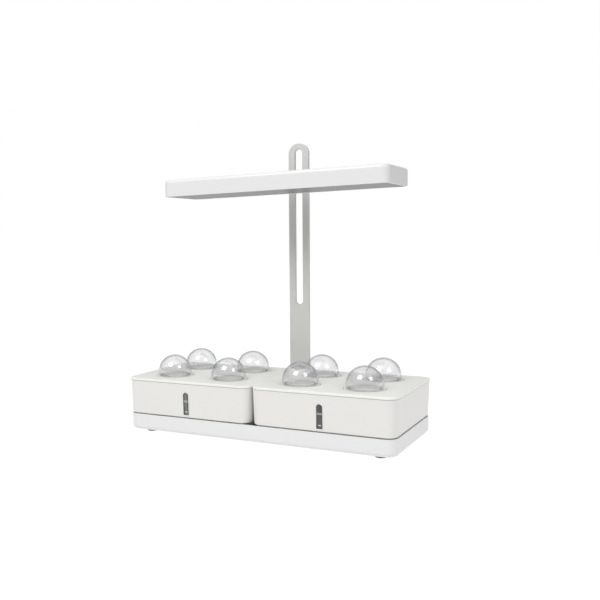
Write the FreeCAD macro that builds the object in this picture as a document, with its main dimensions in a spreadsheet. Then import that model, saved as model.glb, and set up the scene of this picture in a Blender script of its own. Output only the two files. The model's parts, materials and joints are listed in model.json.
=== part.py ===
import FreeCAD, Part
import math
import os
import re
import Sketcher

# Countertop hydroponic garden: two lift-out tanks side by side on a tray, four net cups and four
# clear domes in each lid, and a lamp bar that slides up and down a slotted post behind the tanks.
# Millimetres. X runs along the row of tanks, Y to the back, Z up, and the feet stand on z = 0.

# Driving dimensions: each is written once, here, and stands in the sheet under its own name
SIZES = {
    # Row of tanks and lids
    "row_y": -12.5,  # centre line of the row of tanks, from the origin
    "lid_length": 199.7,  # one lid, along the row
    "lid_depth": 176.0,  # one lid, front to back
    "lid_corner": 15.6,  # plan radius of a lid's corners
    "lid_gap": 0.3,  # gap between the two lids
    "lid_over": 0.4,  # how far a lid reaches past its tank
    "lid_top": 82.2,  # top face of the lids above the table
    "lid_edge": 3.6,  # visible height of a lid's edge
    "lid_round": 0.9,  # round on the lid's upper edge
    "lid_skirt": 4.0,  # depth of the rib that locates the lid in the tank
    "lid_skirt_wall": 1.8,  # thickness of that rib
    "lid_skirt_fit": 0.5,  # room between that rib and the tank wall

    # Tanks
    "tank_draft": 1.8,  # outward slope of the tank walls, degrees
    "tank_wall": 2.4,  # tank wall
    "tank_foot": 29.8,  # lower edge of the tank's outer wall above the table
    "tank_bevel": 1.0,  # bevel on that lower edge
    "tank_floor": 2.2,  # tank floor
    "plinth_step": 4.2,  # how far the tank's lower part is set in from its outer wall
    "plinth_wall": 2.4,  # wall of the tank's lower part

    # Level window
    "window_width": 9.0,  # clear width of the level window
    "window_height": 33.0,  # clear height of the level window
    "window_sill": 3.6,  # sill of the window above the tank's lower edge
    "window_bezel": 1.1,  # width of the window's bezel
    "window_fit": 0.15,  # room between the bezel and the tank wall
    "window_proud": 0.3,  # how far the bezel stands out of the wall
    "lens_thickness": 1.6,  # thickness of the clear lens
    "lens_recess": 0.7,  # how far the lens lies behind the bezel's face
    "lens_fit": 0.05,  # room between the lens and its bezel

    # Tray and feet
    "tray_inset": 1.0,  # how far the tray lies inside the lids' outline, per side
    "tray_base": 5.0,  # underside of the tray above the table
    "tray_rim": 28.6,  # rim of the tray above the table
    "tray_wall": 2.4,  # tray wall
    "tray_floor": 2.6,  # tray floor
    "tray_round": 6.0,  # round on the tray's lower edge
    "rib_width": 7.0,  # rib across the middle of the tray, between the tanks
    "rib_height": 9.0,  # height of that rib over the floor
    "foot_radius": 8.0,  # rubber foot
    "foot_sunk": 0.8,  # how far a foot is let into the tray
    "foot_bevel": 0.8,  # bevel on a foot's lower edge
    "foot_aside": 25.5,  # middle of a foot from the tray's end
    "foot_behind": 25.0,  # middle of a foot from the tray's front or back

    # Planting holes, net cups, sponges and domes
    "hole_pitch_x": 89.9,  # planting holes along X
    "hole_pitch_y": 81.0,  # planting holes along Y
    "cup_flange_radius": 27.0,  # flange of a net cup
    "cup_flange": 1.8,  # thickness of that flange
    "cup_flange_fit": 0.8,  # room between the flange and its recess
    "cup_radius": 22.4,  # net cup just under its flange
    "cup_foot_radius": 16.5,  # net cup at its foot
    "cup_depth": 47.0,  # depth of a net cup below its flange
    "cup_wall": 1.4,  # wall of a net cup
    "cup_fit": 0.5,  # room between a net cup and the lid's hole
    "cup_slots": 6,  # slots round a net cup
    "cup_slot_width": 5.0,  # width of a slot
    "cup_slot_low": 6.0,  # lower end of a slot above the cup's foot
    "cup_slot_high": 15.0,  # upper end of a slot below the flange
    "cup_drain_radius": 7.0,  # hole in the foot of a net cup
    "sponge_height": 36.0,  # planting sponge
    "sponge_fit": 0.3,  # room between sponge and cup
    "sponge_hole_radius": 1.9,  # hole for the seed in the sponge
    "sponge_hole_depth": 12.0,  # depth of that hole
    "dome_radius": 24.6,  # outer radius of a dome
    "dome_rise": 6.2,  # centre of the dome's sphere above the lid
    "dome_wall": 1.3,  # wall of a dome
    "dome_bands": 8,  # conical bands from a dome's foot to its crown
    "dome_lip": 2.2,  # depth of the ring that drops into the net cup
    "dome_lip_wall": 1.2,  # thickness of that ring
    "dome_fit": 0.3,  # room between that ring and the net cup

    # Post and its socket
    "post_width": 31.4,  # slotted post, along X
    "post_thickness": 6.2,  # slotted post, front to back
    "post_top": 422.5,  # top of the post above the table
    "post_foot": 12.0,  # lower end of the post above the table
    "post_bevel": 0.6,  # bevel on the post's edges
    "post_behind": 2.0,  # gap between the lids and the post
    "slot_width": 11.9,  # slot of the post
    "slot_low": 181.2,  # lower end of the slot above the table
    "slot_margin": 8.5,  # material over the slot's upper end
    "socket_wall_x": 5.5,  # socket beside the post
    "socket_wall_back": 5.0,  # socket behind the post
    "socket_wall_front": 1.5,  # socket in front of the post
    "socket_fit": 0.1,  # room round the post in its socket
    "socket_top": 52.0,  # top of the socket above the table
    "socket_corner": 3.0,  # plan radius of the socket's corners
    "plate_thickness": 3.0,  # socket's plate under the tray
    "plate_reach": 62.0,  # reach of that plate under the tray
    "screw_radius": 2.0,  # screw shank
    "screw_head_radius": 3.7,  # screw head
    "screw_head": 2.0,  # height of a screw head
    "screw_fit": 0.05,  # room round a screw shank
    "post_screw_pitch": 16.0,  # two screws that hold the post, apart
    "plate_screw_pitch": 36.0,  # two screws that hold the plate, apart
    "plate_screw_edge": 10.0,  # first of them from the plate's front edge
    "plate_screw_head": 1.2,  # height of their flat heads
    "post_skin": 1.0,  # post left in front of its blind screw bores
    "rib_skin": 2.0,  # rib left over its blind screw bores
    "screw_short": 0.5,  # how far a screw ends before its bore

    # Lamp
    "lamp_length": 338.0,  # lamp bar along X
    "lamp_depth": 100.0,  # lamp bar front to back
    "lamp_height": 25.0,  # lamp bar height
    "lamp_low": 347.5,  # underside of the lamp bar above the table
    "lamp_corner": 10.0,  # plan radius of the lamp's corners
    "lamp_round": 5.5,  # round on the lamp's upper edge
    "lamp_wall": 2.2,  # wall of the lamp housing
    "lamp_behind": 14.0,  # gap between the lamp housing and the post
    "diffuser_thickness": 2.0,  # diffuser
    "diffuser_recess": 0.8,  # how far the diffuser lies above the housing's lower edge
    "diffuser_fit": 0.3,  # room round the diffuser
    "ledge_width": 3.0,  # width of the ledge that the diffuser is pressed against
    "board_aside": 19.0,  # lamp board from the ends of the housing
    "board_behind": 15.0,  # lamp board from the housing's front and back
    "board_thickness": 1.6,  # lamp board
    "led_side": 5.0,  # one light-emitting chip, square
    "led_height": 1.6,  # its height
    "led_columns": 12,  # chips along X
    "led_rows": 3,  # chips front to back
    "boss_radius": 4.0,  # boss that carries the lamp board
    "boss_edge": 7.0,  # boss from the edges of the lamp board

    # Clamp on the post
    "saddle_width": 30.0,  # saddle between lamp and post
    "saddle_height": 19.0,  # height of the saddle
    "saddle_raise": 4.0,  # saddle above the lamp's underside
    "saddle_screw_edge": 5.0,  # its screws from the sides of the saddle
    "saddle_screw_bite": 8.0,  # depth of these screws in the saddle
    "slide_fit": 0.3,  # running gap between clamp and post
    "tongue_height": 15.0,  # tongue that runs in the slot
    "clamp_plate_width": 30.6,  # clamp plate behind the post
    "clamp_plate_height": 24.0,  # its height
    "clamp_plate_thickness": 3.2,  # its thickness
    "clamp_plate_corner": 3.0,  # radius of its corners
    "bolt_radius": 3.0,  # clamp bolt
    "bolt_head_radius": 5.0,  # head of the clamp bolt
    "bolt_head": 3.5,  # height of that head
    "bolt_short": 0.5,  # how far the bolt ends before the knob's bore
    "bolt_fit": 0.05,  # running fit of the knob on the bolt, per side
    "knob_radius": 9.5,  # clamp knob
    "knob_length": 13.0,  # length of the clamp knob
    "knob_flutes": 6,  # finger flutes round the knob
    "knob_flute_radius": 2.4,  # radius of a flute
    "knob_flute_depth": 1.6,  # depth of a flute
    "knob_bevel": 1.5,  # bevel on the knob's end
    "knob_cap": 2.5,  # solid end of the knob over its bore

    # Power button and inlet
    "button_x": 120.0,  # power button from the middle of the lamp
    "button_radius": 6.0,  # power button
    "button_proud": 1.2,  # how far the button stands over the housing
    "button_bevel": 0.5,  # bevel round the button's face
    "button_flange": 1.4,  # collar that keeps the button in the housing
    "button_collar": 1.0,  # reach of that collar past the button's hole
    "button_stem": 0.6,  # stem under the button
    "button_stem_radius": 3.0,  # radius of that stem
    "button_travel": 1.0,  # travel of the button
    "button_seat": 0.2,  # gap between that collar and the roof
    "button_fit": 0.35,  # room round the button
    "switch_side": 6.0,  # switch under the button, square
    "switch_height": 3.2,  # its height
    "switch_gap": 0.3,  # gap between the switch and the pressed button
    "jack_x": 110.0,  # inlet from the middle of the lamp, along minus X
    "jack_radius": 5.5,  # barrel of the inlet
    "jack_flange_radius": 7.0,  # flange of the inlet
    "jack_flange": 1.2,  # thickness of that flange
    "jack_depth": 12.0,  # length of the inlet's barrel
    "jack_bore": 3.2,  # bore of the inlet
    "jack_bore_depth": 9.5,  # depth of that bore
    "jack_fit": 0.05,  # room round the inlet's barrel
    "jack_pin": 1.0,  # centre pin of the inlet
    "jack_pin_in": 1.7,  # tip of that pin behind the flange's face

    # Working value
    "cut_over": 1.0,  # how far a cut starts outside the material
}

doc = FreeCAD.newDocument("hydroponic_garden")
sheet = doc.addObject("Spreadsheet::Sheet", "sizes")
for row, (alias, value) in enumerate(SIZES.items(), 1):
    sheet.set(f"A{row}", alias)
    sheet.set(f"B{row}", str(value))
    sheet.setAlias(f"B{row}", alias)
doc.recompute()


def bound(text):
    """An expression on the sheet: every size name in it gets the sheet's name in front."""
    return re.sub(r"[a-z][a-z_]*", lambda word: "sizes." + word.group() if word.group() in SIZES
                  else word.group(), str(text))


def number(text):
    """What an expression is worth now."""
    result = sheet.evalExpression(bound(text))
    return float(getattr(result, "Value", result))


def bind(target, path, text):
    target.setExpression(path, bound(text))


# Levels and faces that several pieces share, as expressions on the sheet
lid_bottom = "(lid_top - lid_edge)"
tray_inside = "(tray_base + tray_floor)"
tray_length = "(2 * lid_length + lid_gap - 2 * tray_inset)"
tray_depth = "(lid_depth - 2 * tray_inset)"
foot_x = f"({tray_length} / 2 - foot_aside)"
foot_y = f"({tray_depth} / 2 - foot_behind)"
tank_pitch = "(lid_length + lid_gap)"
tank_length = "(lid_length - 2 * lid_over)"
tank_depth = "(lid_depth - 2 * lid_over)"
tank_corner = "(lid_corner - lid_over)"
tank_rise = "(lid_top - lid_edge - tank_foot)"
tank_lean = f"({tank_rise} * tan(tank_draft))"
tank_foot_length = f"({tank_length} - 2 * {tank_lean})"
tank_foot_depth = f"({tank_depth} - 2 * {tank_lean})"
tank_foot_corner = f"({tank_corner} - {tank_lean})"
hole_radius = "(cup_radius + cup_fit)"
post_front = "(row_y + lid_depth / 2 + post_behind)"
post_back = f"({post_front} + post_thickness)"
slot_high = "(post_top - slot_margin)"
lamp_back = f"({post_front} - lamp_behind)"
lamp_middle = f"({lamp_back} - lamp_depth / 2)"
lamp_roof = "(lamp_low + lamp_height - lamp_wall)"
board_length = "(lamp_length - 2 * board_aside)"
board_depth = "(lamp_depth - 2 * board_behind)"
bolt_height = "(lamp_low + saddle_raise + saddle_height / 2)"
board_drop = "(button_seat + button_flange + button_stem + button_travel + switch_gap + switch_height)"
board_top = f"({lamp_roof} - {board_drop})"
cap = "(lamp_wall + button_proud + button_seat)"
knob_from = f"({post_back} + 2 * slide_fit + clamp_plate_thickness)"
screw_bore = "(screw_radius + screw_fit)"


def new_body(label):
    body = doc.addObject("PartDesign::Body", label)
    body.Label = label
    return body


def place(item, x="0", y="0", z="0"):
    bind(item, "Placement.Base.x", x)
    bind(item, "Placement.Base.y", y)
    bind(item, "Placement.Base.z", z)


def sketch_on(body, plane, lift="0"):
    """An empty sketch on one of the body's own planes, lifted along that plane's normal."""
    sketch = body.newObject("Sketcher::SketchObject", body.Label + "_sketch")
    support = next(item for item in body.Origin.OriginFeatures if item.Role == plane)
    sketch.AttachmentSupport = [(support, "")]
    sketch.MapMode = "FlatFace"
    bind(sketch, "AttachmentOffset.Base.z", lift)
    return sketch


def constrain(sketch, kind, arguments, text):
    index = sketch.addConstraint(Sketcher.Constraint(kind, *arguments, number(text)))
    bind(sketch, f"Constraints[{index}]", text)


def arc_between(start, end, radius):
    """The short arc from start to end: anticlockwise for a positive radius, else clockwise."""
    chord_x = end[0] - start[0]
    chord_y = end[1] - start[1]
    chord = math.hypot(chord_x, chord_y)
    reach = math.sqrt(max(radius * radius - chord * chord / 4, 0)) * math.copysign(1, radius)
    centre_x = (start[0] + end[0]) / 2 - chord_y / chord * reach
    centre_y = (start[1] + end[1]) / 2 + chord_x / chord * reach
    first, last = (start, end) if radius > 0 else (end, start)
    circle = Part.Circle(FreeCAD.Vector(centre_x, centre_y, 0), FreeCAD.Vector(0, 0, 1), abs(radius))
    return Part.ArcOfCircle(circle, math.atan2(first[1] - centre_y, first[0] - centre_x),
                            math.atan2(last[1] - centre_y, last[0] - centre_x))


def outline(sketch, start, *steps):
    """A closed outline. A step is the next corner (x, y), with a radius after it where an arc leads
    there. Every corner is dimensioned from the sketch's origin."""
    corners = [start] + [step[:2] for step in steps]
    spots = [(number(x), number(y)) for x, y in corners]
    ends = []
    for index, step in enumerate(steps):
        tail, head = spots[index], spots[index + 1]
        if index == len(steps) - 1:
            head = spots[0]
        if len(step) == 3:
            radius = number(step[2])
            edge = sketch.addGeometry(arc_between(tail, head, radius), False)
            constrain(sketch, "Radius", (edge,), f"abs({step[2]})")
            ends.append((edge, 1, 2) if radius > 0 else (edge, 2, 1))
        else:
            line = Part.LineSegment(FreeCAD.Vector(*tail, 0), FreeCAD.Vector(*head, 0))
            ends.append((sketch.addGeometry(line, False), 1, 2))
    for index, (edge, tail_point, head_point) in enumerate(ends):
        following = ends[(index + 1) % len(ends)]
        sketch.addConstraint(Sketcher.Constraint("Coincident", edge, head_point,
                                                 following[0], following[1]))
        x, y = corners[index]
        constrain(sketch, "DistanceX", (-1, 1, edge, tail_point), x)
        constrain(sketch, "DistanceY", (-1, 1, edge, tail_point), y)


def rectangle(sketch, width, height, x="0", y="0"):
    left, right = f"{x} - {width} / 2", f"{x} + {width} / 2"
    low, high = f"{y} - {height} / 2", f"{y} + {height} / 2"
    outline(sketch, (left, low), (right, low), (right, high), (left, high), (left, low))


def rounded(sketch, width, height, radius, x="0", y="0"):
    """A rectangle with round corners."""
    left, right = f"{x} - {width} / 2", f"{x} + {width} / 2"
    low, high = f"{y} - {height} / 2", f"{y} + {height} / 2"
    outline(sketch, (f"{left} + {radius}", low), (f"{right} - {radius}", low),
            (right, f"{low} + {radius}", radius), (right, f"{high} - {radius}"),
            (f"{right} - {radius}", high, radius), (f"{left} + {radius}", high),
            (left, f"{high} - {radius}", radius), (left, f"{low} + {radius}"),
            (f"{left} + {radius}", low, radius))


def upright_slot(sketch, width, low, high, x="0"):
    """A slot with half-round ends, each of two quarter arcs."""
    radius = f"{width} / 2"
    left, right = f"{x} - {radius}", f"{x} + {radius}"
    outline(sketch, (left, f"{low} + {radius}"), (x, low, radius), (right, f"{low} + {radius}", radius),
            (right, f"{high} - {radius}"), (x, high, radius), (left, f"{high} - {radius}", radius),
            (left, f"{low} + {radius}"))


def circle(sketch, radius, x="0", y="0"):
    ring = Part.Circle(FreeCAD.Vector(number(x), number(y), 0), FreeCAD.Vector(0, 0, 1), number(radius))
    edge = sketch.addGeometry(ring, False)
    constrain(sketch, "Radius", (edge,), radius)
    constrain(sketch, "DistanceX", (-1, 1, edge, 3), x)
    constrain(sketch, "DistanceY", (-1, 1, edge, 3), y)


def pad(body, sketch, length, taper="0", backwards=False):
    feature = body.newObject("PartDesign::Pad", body.Label + "_pad")
    feature.Profile = sketch
    bind(feature, "Length", length)
    bind(feature, "TaperAngle", taper)
    feature.Reversed = backwards
    doc.recompute()
    return feature


def pocket(body, sketch, depth, taper="0", backwards=False):
    """Cuts against the sketch's normal, or along it if backwards, and must take something away."""
    before = body.Shape.Volume
    feature = body.newObject("PartDesign::Pocket", body.Label + "_pocket")
    feature.Profile = sketch
    bind(feature, "Length", depth)
    bind(feature, "TaperAngle", taper)
    feature.Reversed = backwards
    doc.recompute()
    if body.Shape.Volume > before - 0.01:
        raise RuntimeError(body.Label + ": a pocket cuts nothing")
    return feature


def turn(body, sketch, kind="PartDesign::Revolution"):
    """Turns a sketch on the XZ plane round the upright axis."""
    feature = body.newObject(kind, body.Label + "_turn")
    feature.Profile = sketch
    feature.ReferenceAxis = (sketch, ["V_Axis"])
    feature.Angle = 360
    doc.recompute()
    return feature


def polar(body, features, count):
    """Repeats features round the body's own Z axis."""
    pattern = body.newObject("PartDesign::PolarPattern", body.Label + "_pattern")
    pattern.Originals = features
    axis = next(item for item in body.Origin.OriginFeatures if item.Role == "Z_Axis")
    pattern.Axis = (axis, [""])
    pattern.Angle = 360
    bind(pattern, "Occurrences", count)
    body.Tip = pattern
    doc.recompute()
    return pattern


def edges_where(body, test):
    """Names of the body's edges whose middle passes a test."""
    names = []
    for index, edge in enumerate(body.Shape.Edges):
        middle = edge.valueAt((edge.FirstParameter + edge.LastParameter) / 2)
        if test(body.Placement.inverse().multVec(middle)):
            names.append(f"Edge{index + 1}")
    return names


def soften(body, radius, test):
    """A fillet on every edge that passes a test."""
    last, edges = body.Tip, edges_where(body, test)
    feature = body.newObject("PartDesign::Fillet", body.Label + "_fillet")
    feature.Base = (last, edges)
    bind(feature, "Radius", radius)
    doc.recompute()
    return feature


def bevel(body, width, test):
    """A chamfer on every edge that passes a test."""
    last, edges = body.Tip, edges_where(body, test)
    feature = body.newObject("PartDesign::Chamfer", body.Label + "_chamfer")
    feature.Base = (last, edges)
    bind(feature, "Size", width)
    doc.recompute()
    return feature


def near(a, b):
    return abs(a - b) < 0.01


def group(label, solids):
    """Identical small pieces in one node."""
    item = doc.addObject("Part::Feature", label)
    item.Label = label
    item.Shape = Part.makeCompound(solids)
    item.Placement = FreeCAD.Placement()
    return item


def screw(tip, direction, length, head="screw_head", radius="screw_radius",
          head_radius="screw_head_radius"):
    """A screw or bolt whose head's underside is length behind its tip."""
    along = FreeCAD.Vector(*direction)
    seat = tip - along * length
    shank = Part.makeCylinder(number(radius), length, seat, along)
    disc = Part.makeCylinder(number(head_radius), number(head), seat - along * number(head), along)
    return shank.fuse(disc).removeSplitter()


# Tray: an open box with a round lower edge and a rib between the tanks
def make_tray():
    body = new_body("base_tray")
    height = "(tray_rim - tray_base)"
    pad(body, outline_of(body, tray_length, tray_depth, "(lid_corner - tray_inset)"), height)
    soften(body, "tray_round", lambda at: near(at.z, 0))
    inner = outline_of(body, f"({tray_length} - 2 * tray_wall)", f"({tray_depth} - 2 * tray_wall)",
                       "(lid_corner - tray_inset - tray_wall)", height)
    pocket(body, inner, f"({height} - tray_floor)")
    rib = sketch_on(body, "XY_Plane", "tray_floor / 2")
    rectangle(rib, "rib_width", f"({tray_depth} - tray_wall)")
    pad(body, rib, "rib_height + tray_floor / 2")
    wells = sketch_on(body, "XY_Plane")
    for side_x in ("-", ""):
        for side_y in ("-", ""):
            circle(wells, "foot_radius", side_x + foot_x, side_y + foot_y)
    pocket(body, wells, "foot_sunk", backwards=True)
    bores = sketch_on(body, "XY_Plane")
    for y in plate_screw_places():
        circle(bores, screw_bore, "0", y)
    pocket(body, bores, "tray_floor + rib_height - rib_skin", backwards=True)
    place(body, "0", "row_y", "tray_base")
    return body


def outline_of(body, width, depth, corner, lift="0"):
    sketch = sketch_on(body, "XY_Plane", lift)
    rounded(sketch, width, depth, corner)
    return sketch


def plate_screw_places():
    """The two screws under the tray, from the middle of the row."""
    first = f"({tray_depth} / 2 - plate_reach + plate_screw_edge)"
    return first, f"({first} + plate_screw_pitch)"


def make_feet():
    for name_x, side_x in (("left", "-"), ("right", "")):
        for name_y, side_y in (("front", "-"), ("rear", "")):
            body = new_body(f"foot_{name_y}_{name_x}")
            profile = sketch_on(body, "XZ_Plane")
            outline(profile, ("0", "0"), ("foot_radius - foot_bevel", "0"), ("foot_radius", "foot_bevel"),
                    ("foot_radius", "tray_base + foot_sunk"), ("0", "tray_base + foot_sunk"), ("0", "0"))
            turn(body, profile)
            place(body, side_x + foot_x, f"row_y + {side_y} {foot_y}", "0")


# Post and the socket that holds it
def make_post():
    body = new_body("post")
    face = sketch_on(body, "XZ_Plane")
    half = "post_width / 2"
    outline(face, ("-" + half, "post_foot"), (half, "post_foot"), (half, f"post_top - {half}"),
            ("0", "post_top", half), ("-" + half, f"post_top - {half}", half), ("-" + half, "post_foot"))
    upright_slot(face, "slot_width", "slot_low", slot_high)
    pad(body, face, "post_thickness", backwards=True)
    bores = sketch_on(body, "XZ_Plane", "-post_thickness")
    for z in post_screw_places():
        circle(bores, screw_bore, "0", z)
    pocket(body, bores, "post_thickness - post_skin", backwards=True)
    thickness = number("post_thickness")
    socket_top = number("socket_top")
    bevel(body, "post_bevel", lambda at: (near(at.y, 0) or near(at.y, thickness)) and at.z > socket_top)
    place(body, "0", post_front, "0")
    return body


def post_screw_places():
    middle = "(post_foot + socket_top) / 2"
    return f"({middle} - post_screw_pitch / 2)", f"({middle} + post_screw_pitch / 2)"


def make_socket():
    body = new_body("post_socket")
    width = "(post_width + 2 * socket_wall_x)"
    front = f"({post_front} - socket_wall_front)"
    back = f"({post_back} + socket_wall_back)"
    tray_back = f"(row_y + {tray_depth} / 2)"
    plan = sketch_on(body, "XY_Plane", "tray_base - plate_thickness")
    rounded(plan, width, f"({back} - {tray_back} + plate_reach)", "socket_corner",
            "0", f"({back} + {tray_back} - plate_reach) / 2")
    pad(body, plan, "plate_thickness")
    column = sketch_on(body, "XY_Plane", "tray_base - plate_thickness")
    rounded(column, width, f"({back} - {front})", "socket_corner", "0", f"({back} + {front}) / 2")
    pad(body, column, "socket_top - tray_base + plate_thickness")
    well = sketch_on(body, "XY_Plane", "socket_top")
    rectangle(well, "(post_width + 2 * socket_fit)", "(post_thickness + 2 * socket_fit)",
              "0", f"{post_front} + post_thickness / 2")
    pocket(body, well, "socket_top - post_foot")
    rear = sketch_on(body, "XZ_Plane", f"-{back}")
    for z in post_screw_places():
        circle(rear, screw_bore, "0", z)
    pocket(body, rear, "socket_wall_back", backwards=True)
    under = sketch_on(body, "XY_Plane", "tray_base - plate_thickness")
    for y in plate_screw_places():
        circle(under, screw_bore, "0", f"row_y + {y}")
    pocket(body, under, "plate_thickness", backwards=True)
    place(body)
    return body


def make_base_screws():
    behind = number(f"{post_back} + socket_wall_back")
    depth = number("socket_wall_back + post_thickness - post_skin - screw_short")
    rear = [screw(FreeCAD.Vector(0, behind - depth, number(z)), (0, -1, 0), depth)
            for z in post_screw_places()]
    group("post_screws", rear)
    low = number("tray_base - plate_thickness")
    reach = number("plate_thickness + tray_floor + rib_height - rib_skin - screw_short")
    under = [screw(FreeCAD.Vector(0, number(f"row_y + {y}"), low + reach), (0, 0, 1), reach,
                   "plate_screw_head")
             for y in plate_screw_places()]
    group("plate_screws", under)


# Tanks
def make_tank(side, sign):
    body = new_body(f"tank_{side}")
    foot = f"(tank_foot - {tray_inside})"
    outer = outline_of(body, tank_foot_length, tank_foot_depth, tank_foot_corner, foot)
    pad(body, outer, tank_rise, "tank_draft")
    level = number(foot)
    bevel(body, "tank_bevel", lambda at: near(at.z, level))
    plinth = outline_of(body, f"({tank_foot_length} - 2 * plinth_step)",
                        f"({tank_foot_depth} - 2 * plinth_step)", f"({tank_foot_corner} - plinth_step)")
    pad(body, plinth, f"{foot} + tank_bevel")
    inner = outline_of(body, f"({tank_length} - 2 * tank_wall)", f"({tank_depth} - 2 * tank_wall)",
                       f"({tank_corner} - tank_wall)", f"{foot} + {tank_rise}")
    pocket(body, inner, f"{tank_rise} - tank_floor", "-tank_draft")
    lower = outline_of(body, f"({tank_foot_length} - 2 * plinth_step - 2 * plinth_wall)",
                       f"({tank_foot_depth} - 2 * plinth_step - 2 * plinth_wall)",
                       f"({tank_foot_corner} - plinth_step - plinth_wall)", f"{foot} + tank_floor + cut_over")
    pocket(body, lower, f"{foot} + cut_over")
    window = sketch_on(body, "XZ_Plane", f"{tank_depth} / 2 + cut_over")
    window_outline(window, "window_bezel + window_fit", f"({foot} + window_sill)")
    pocket(body, window, f"{tank_lean} + tank_wall + 2 * cut_over")
    place(body, f"{sign} {tank_pitch} / 2", "row_y", tray_inside)
    return body


def window_outline(sketch, grow, sill="0"):
    """The window's arched outline, grown by a margin."""
    half = f"(window_width / 2 + {grow})"
    low = f"({sill} - ({grow}))"
    spring = f"({sill} + window_height - window_width / 2)"
    outline(sketch, ("-" + half, low), (half, low), (half, spring), ("0", f"{spring} + {half}", half),
            ("-" + half, spring, half), ("-" + half, low))


def make_window(side, sign):
    """Bezel and lens, both leaning with the tank's front wall."""
    sill_level = "(tank_foot + window_sill)"
    wall_face = f"(row_y - {tank_foot_depth} / 2 - window_sill * tan(tank_draft))"
    bezel = new_body(f"window_bezel_{side}")
    ring = sketch_on(bezel, "XZ_Plane", "window_proud")
    window_outline(ring, "window_bezel")
    window_outline(ring, "0")
    pad(bezel, ring, "window_proud + tank_wall", backwards=True)
    lens = new_body(f"window_lens_{side}")
    glass = sketch_on(lens, "XZ_Plane", "window_proud - lens_recess")
    window_outline(glass, "-lens_fit")
    pad(lens, glass, "lens_thickness", backwards=True)
    for item in (bezel, lens):
        place(item, f"{sign} {tank_pitch} / 2", wall_face, sill_level)
        item.Placement.Rotation = FreeCAD.Rotation(FreeCAD.Vector(1, 0, 0), number("tank_draft"))


# Lids
def hole_places():
    """The four holes of a lid, from its middle."""
    return [(f"{side_x} hole_pitch_x / 2", f"{side_y} hole_pitch_y / 2")
            for side_x in ("-", "") for side_y in ("-", "")]


def make_lid(side, sign):
    body = new_body(f"lid_{side}")
    pad(body, outline_of(body, "lid_length", "lid_depth", "lid_corner"), "lid_edge")
    top = number("lid_edge")
    soften(body, "lid_round", lambda at: near(at.z, top))
    inset = "(lid_over + tank_wall + lid_skirt_fit)"
    skirt = sketch_on(body, "XY_Plane", "lid_edge / 2")
    rounded(skirt, f"(lid_length - 2 * {inset})", f"(lid_depth - 2 * {inset})", f"(lid_corner - {inset})")
    inset = "(lid_over + tank_wall + lid_skirt_fit + lid_skirt_wall)"
    rounded(skirt, f"(lid_length - 2 * {inset})", f"(lid_depth - 2 * {inset})", f"(lid_corner - {inset})")
    pad(body, skirt, "lid_edge / 2 + lid_skirt", "-tank_draft", backwards=True)
    recess = sketch_on(body, "XY_Plane", "lid_edge")
    holes = sketch_on(body, "XY_Plane", "lid_edge")
    for x, y in hole_places():
        circle(recess, "cup_flange_radius + cup_flange_fit", x, y)
        circle(holes, hole_radius, x, y)
    pocket(body, recess, "cup_flange")
    pocket(body, holes, "lid_edge")
    place(body, f"{sign} {tank_pitch} / 2", "row_y", lid_bottom)
    return body


# Net cups, sponges and domes
def make_cup(label):
    body = new_body(label)
    profile = sketch_on(body, "XZ_Plane")
    outline(profile, ("cup_drain_radius", "-cup_depth"), ("cup_foot_radius", "-cup_depth"),
            ("cup_radius", "0"), ("cup_flange_radius", "0"), ("cup_flange_radius", "cup_flange"),
            ("cup_radius - cup_wall", "cup_flange"), ("cup_radius - cup_wall", "0"),
            ("cup_foot_radius - cup_wall", "cup_wall - cup_depth"),
            ("cup_drain_radius", "cup_wall - cup_depth"), ("cup_drain_radius", "-cup_depth"))
    turn(body, profile)
    slot = sketch_on(body, "YZ_Plane")
    rectangle(slot, "cup_slot_width", "(cup_depth - cup_slot_low - cup_slot_high)",
              "0", "(cup_slot_low - cup_slot_high - cup_depth) / 2")
    cut = pocket(body, slot, "cup_radius", backwards=True)
    polar(body, [cut], "cup_slots")
    return body


def make_sponge(label):
    """A tapered plug with a hole for the seed, a little smaller than the cup round it."""
    body = new_body(label)
    slope = "((cup_radius - cup_foot_radius) / cup_depth)"
    low = "(cup_foot_radius - cup_wall - sponge_fit)"
    high = f"({low} + {slope} * sponge_height)"
    profile = sketch_on(body, "XZ_Plane")
    outline(profile, ("0", "0"), (low, "0"), (high, "sponge_height"),
            ("sponge_hole_radius", "sponge_height"),
            ("sponge_hole_radius", "sponge_height - sponge_hole_depth"),
            ("0", "sponge_height - sponge_hole_depth"), ("0", "0"))
    turn(body, profile)
    return body


def bands(radius, level):
    """Corners round the dome's centre, in even steps from a level to the crown, both left out."""
    start = f"asin(({level} - dome_rise) / {radius})"
    count = int(number("dome_bands"))
    angles = [f"({start} + (90 deg - {start}) * {step} / {count})" for step in range(1, count)]
    return [(f"{radius} * cos({angle})", f"dome_rise + {radius} * sin({angle})") for angle in angles]


def make_dome(label):
    """A clear shell of conical bands, a little more than half a ball, with a ring that drops into
    the cup."""
    body = new_body(label)
    inner = "(dome_radius - dome_wall)"
    outer_foot = "sqrt(dome_radius^2 - dome_rise^2)"
    inner_foot = f"sqrt({inner}^2 - (dome_wall - dome_rise)^2)"
    ring_outer = "(cup_radius - cup_wall - dome_fit)"
    ring_inner = "(cup_radius - cup_wall - dome_fit - dome_lip_wall)"
    profile = sketch_on(body, "XZ_Plane")
    outline(profile, (ring_inner, "-dome_lip"), (ring_outer, "-dome_lip"), (ring_outer, "0"),
            (outer_foot, "0"), *bands("dome_radius", "0"), ("0", "dome_rise + dome_radius"),
            ("0", f"dome_rise + {inner}"), *reversed(bands(inner, "dome_wall")),
            (inner_foot, "dome_wall"), (ring_inner, "dome_wall"), (ring_inner, "-dome_lip"))
    turn(body, profile)
    return body


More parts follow.
